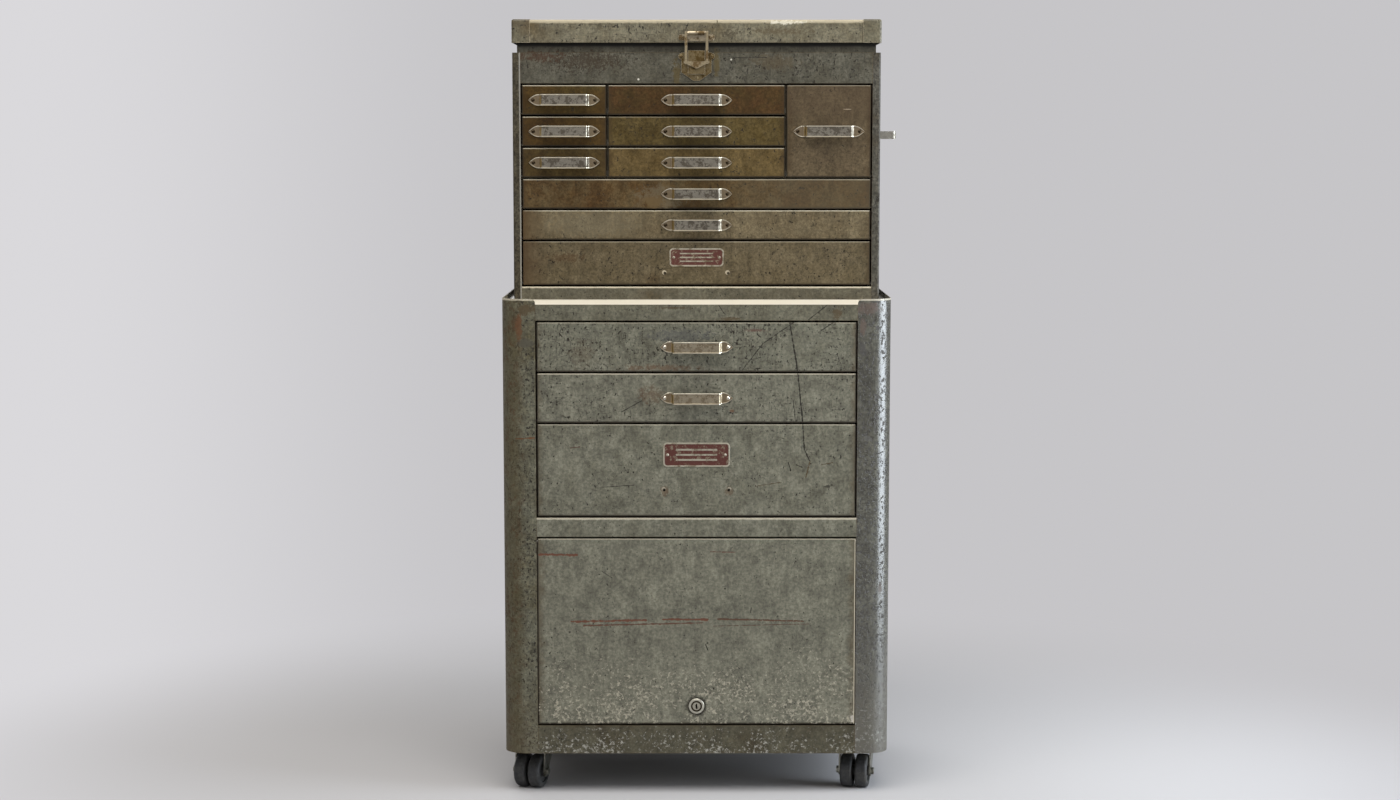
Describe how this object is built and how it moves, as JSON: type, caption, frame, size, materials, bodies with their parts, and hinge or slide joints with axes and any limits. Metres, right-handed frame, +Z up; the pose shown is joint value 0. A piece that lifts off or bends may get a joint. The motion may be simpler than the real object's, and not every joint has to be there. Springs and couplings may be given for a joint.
{
  "type": "tool chest",
  "caption": "Machinist tool chest with lift-up lid and small drawers on a roller cabinet with drawers, a swing-up lower door and twin-wheel casters.",
  "frame": {"origin": "middle of the footprint, on the floor", "axes": "+X to the right seen from the front, +Y to the back, +Z up"},
  "size_m": [0.709, 0.481, 1.3774],
  "materials": {
    "cabinet_paint": "hammered grey-green paint, worn",
    "chest_paint": "grey-green paint under brown grime",
    "drawer_paint": "grey-green paint under brown grime",
    "nickel": "worn nickel plate",
    "bare_steel": "plain steel, dull",
    "rubber": "hard rubber, dusty"
  },
  "bodies": {
    "carcass": {"cabinet_side_left": "cabinet_paint", "cabinet_side_right": "cabinet_paint", "cabinet_back_panel": "cabinet_paint", "cabinet_top_pan": "cabinet_paint", "cabinet_top_rail": "cabinet_paint", "cabinet_middle_rail": "cabinet_paint", "cabinet_base_pan": "cabinet_paint", "cabinet_drawer_runners": "bare_steel", "caster_plates": "bare_steel", "door_hinge_rod": "bare_steel", "chest_side_left": "chest_paint", "chest_side_right": "chest_paint", "chest_back_panel": "chest_paint", "chest_bottom_pan": "chest_paint", "chest_till_pan": "chest_paint", "chest_partitions": "chest_paint", "chest_drawer_runners": "bare_steel", "chest_hinge_leaf": "bare_steel", "latch_base_plate": "nickel", "side_handle": "nickel"},
    "chest_drawer_left_upper": {"chest_drawer_left_upper": "drawer_paint", "chest_pull_left_upper": "nickel"},
    "chest_drawer_left_middle": {"chest_drawer_left_middle": "drawer_paint", "chest_pull_left_middle": "nickel"},
    "chest_drawer_left_lower": {"chest_drawer_left_lower": "drawer_paint", "chest_pull_left_lower": "nickel"},
    "chest_drawer_centre_upper": {"chest_drawer_centre_upper": "drawer_paint", "chest_pull_centre_upper": "nickel"},
    "chest_drawer_centre_middle": {"chest_drawer_centre_middle": "drawer_paint", "chest_pull_centre_middle": "nickel"},
    "chest_drawer_centre_lower": {"chest_drawer_centre_lower": "drawer_paint", "chest_pull_centre_lower": "nickel"},
    "chest_drawer_tall": {"chest_drawer_tall": "drawer_paint", "chest_pull_tall": "nickel"},
    "chest_drawer_wide_upper": {"chest_drawer_wide_upper": "drawer_paint", "chest_pull_wide_upper": "nickel"},
    "chest_drawer_wide_lower": {"chest_drawer_wide_lower": "drawer_paint", "chest_pull_wide_lower": "nickel"},
    "chest_drawer_deep": {"chest_drawer_deep": "drawer_paint"},
    "cabinet_drawer_upper": {"cabinet_drawer_upper": "cabinet_paint", "cabinet_pull_upper": "nickel"},
    "cabinet_drawer_middle": {"cabinet_drawer_middle": "cabinet_paint", "cabinet_pull_middle": "nickel"},
    "cabinet_drawer_deep": {"cabinet_drawer_deep": "cabinet_paint"},
    "lid": {"lid_shell": "chest_paint", "lid_corner_caps": "chest_paint", "lid_hinge_leaf": "bare_steel", "latch_lid_plate": "nickel"},
    "hasp": {"latch_hasp": "nickel"},
    "door": {"door_panel": "cabinet_paint", "lock_body": "nickel"},
    "lock_plug": {"lock_plug": "nickel"},
    "caster_front_left": {"caster_fork_front_left": "bare_steel"},
    "wheels_front_left": {"caster_wheels_front_left": "rubber"},
    "caster_front_right": {"caster_fork_front_right": "bare_steel"},
    "wheels_front_right": {"caster_wheels_front_right": "rubber"},
    "caster_rear_left": {"caster_fork_rear_left": "bare_steel"},
    "wheels_rear_left": {"caster_wheels_rear_left": "rubber"},
    "caster_rear_right": {"caster_fork_rear_right": "bare_steel"},
    "wheels_rear_right": {"caster_wheels_rear_right": "rubber"}
  },
  "joints": [
    {"name": "chest_drawer_left_upper_slide", "type": "slide", "parent": "carcass", "child": "chest_drawer_left_upper", "axis": [0, -1, 0], "range_m": [0, 0.23]},
    {"name": "chest_drawer_left_middle_slide", "type": "slide", "parent": "carcass", "child": "chest_drawer_left_middle", "axis": [0, -1, 0], "range_m": [0, 0.23]},
    {"name": "chest_drawer_left_lower_slide", "type": "slide", "parent": "carcass", "child": "chest_drawer_left_lower", "axis": [0, -1, 0], "range_m": [0, 0.23]},
    {"name": "chest_drawer_centre_upper_slide", "type": "slide", "parent": "carcass", "child": "chest_drawer_centre_upper", "axis": [0, -1, 0], "range_m": [0, 0.23]},
    {"name": "chest_drawer_centre_middle_slide", "type": "slide", "parent": "carcass", "child": "chest_drawer_centre_middle", "axis": [0, -1, 0], "range_m": [0, 0.23]},
    {"name": "chest_drawer_centre_lower_slide", "type": "slide", "parent": "carcass", "child": "chest_drawer_centre_lower", "axis": [0, -1, 0], "range_m": [0, 0.23]},
    {"name": "chest_drawer_tall_slide", "type": "slide", "parent": "carcass", "child": "chest_drawer_tall", "axis": [0, -1, 0], "range_m": [0, 0.23]},
    {"name": "chest_drawer_wide_upper_slide", "type": "slide", "parent": "carcass", "child": "chest_drawer_wide_upper", "axis": [0, -1, 0], "range_m": [0, 0.23]},
    {"name": "chest_drawer_wide_lower_slide", "type": "slide", "parent": "carcass", "child": "chest_drawer_wide_lower", "axis": [0, -1, 0], "range_m": [0, 0.23]},
    {"name": "chest_drawer_deep_slide", "type": "slide", "parent": "carcass", "child": "chest_drawer_deep", "axis": [0, -1, 0], "range_m": [0, 0.23]},
    {"name": "cabinet_drawer_upper_slide", "type": "slide", "parent": "carcass", "child": "cabinet_drawer_upper", "axis": [0, -1, 0], "range_m": [0, 0.36]},
    {"name": "cabinet_drawer_middle_slide", "type": "slide", "parent": "carcass", "child": "cabinet_drawer_middle", "axis": [0, -1, 0], "range_m": [0, 0.36]},
    {"name": "cabinet_drawer_deep_slide", "type": "slide", "parent": "carcass", "child": "cabinet_drawer_deep", "axis": [0, -1, 0], "range_m": [0, 0.36]},
    {"name": "lid_hinge", "type": "hinge", "parent": "carcass", "child": "lid", "pos_m": [-0.0115, 0.23755, 1.3347], "axis": [-1, 0, 0], "range_deg": [0, 95]},
    {"name": "hasp_hinge", "type": "hinge", "parent": "lid", "child": "hasp", "pos_m": [-0.0115, -0.07745, 1.353], "axis": [-1, 0, 0], "range_deg": [0, 110]},
    {"name": "door_hinge", "type": "hinge", "parent": "carcass", "child": "door", "pos_m": [-0.0115, -0.21355, 0.4573], "axis": [-1, 0, 0], "range_deg": [0, 90]},
    {"name": "lock_turn", "type": "hinge", "parent": "door", "child": "lock_plug", "pos_m": [-0.0115, -0.21855, 0.1603], "axis": [0, 1, 0], "range_deg": [0, 90]},
    {"name": "swivel_front_left", "type": "hinge", "parent": "carcass", "child": "caster_front_left", "pos_m": [-0.3035, -0.14055, 0.08], "axis": [0, 0, 1], "continuous": true},
    {"name": "spin_front_left", "type": "hinge", "parent": "caster_front_left", "child": "wheels_front_left", "pos_m": [-0.3103, -0.16147, 0.03], "axis": [0.9511, -0.309, 0], "continuous": true},
    {"name": "swivel_front_right", "type": "hinge", "parent": "carcass", "child": "caster_front_right", "pos_m": [0.2805, -0.14055, 0.08], "axis": [0, 0, 1], "continuous": true},
    {"name": "spin_front_right", "type": "hinge", "parent": "caster_front_right", "child": "wheels_front_right", "pos_m": [0.27593, -0.16207, 0.03], "axis": [0.9781, -0.2079, 0], "continuous": true},
    {"name": "swivel_rear_left", "type": "hinge", "parent": "carcass", "child": "caster_rear_left", "pos_m": [-0.3035, 0.16045, 0.08], "axis": [0, 0, 1], "continuous": true},
    {"name": "spin_rear_left", "type": "hinge", "parent": "caster_rear_left", "child": "wheels_rear_left", "pos_m": [-0.29818, 0.1391, 0.03], "axis": [0.9703, 0.2419, 0], "continuous": true},
    {"name": "swivel_rear_right", "type": "hinge", "parent": "carcass", "child": "caster_rear_right", "pos_m": [0.2805, 0.16045, 0.08], "axis": [0, 0, 1], "continuous": true},
    {"name": "spin_rear_right", "type": "hinge", "parent": "caster_rear_right", "child": "wheels_rear_right", "pos_m": [0.27155, 0.14035, 0.03], "axis": [0.9135, -0.4067, 0], "continuous": true}
  ]
}
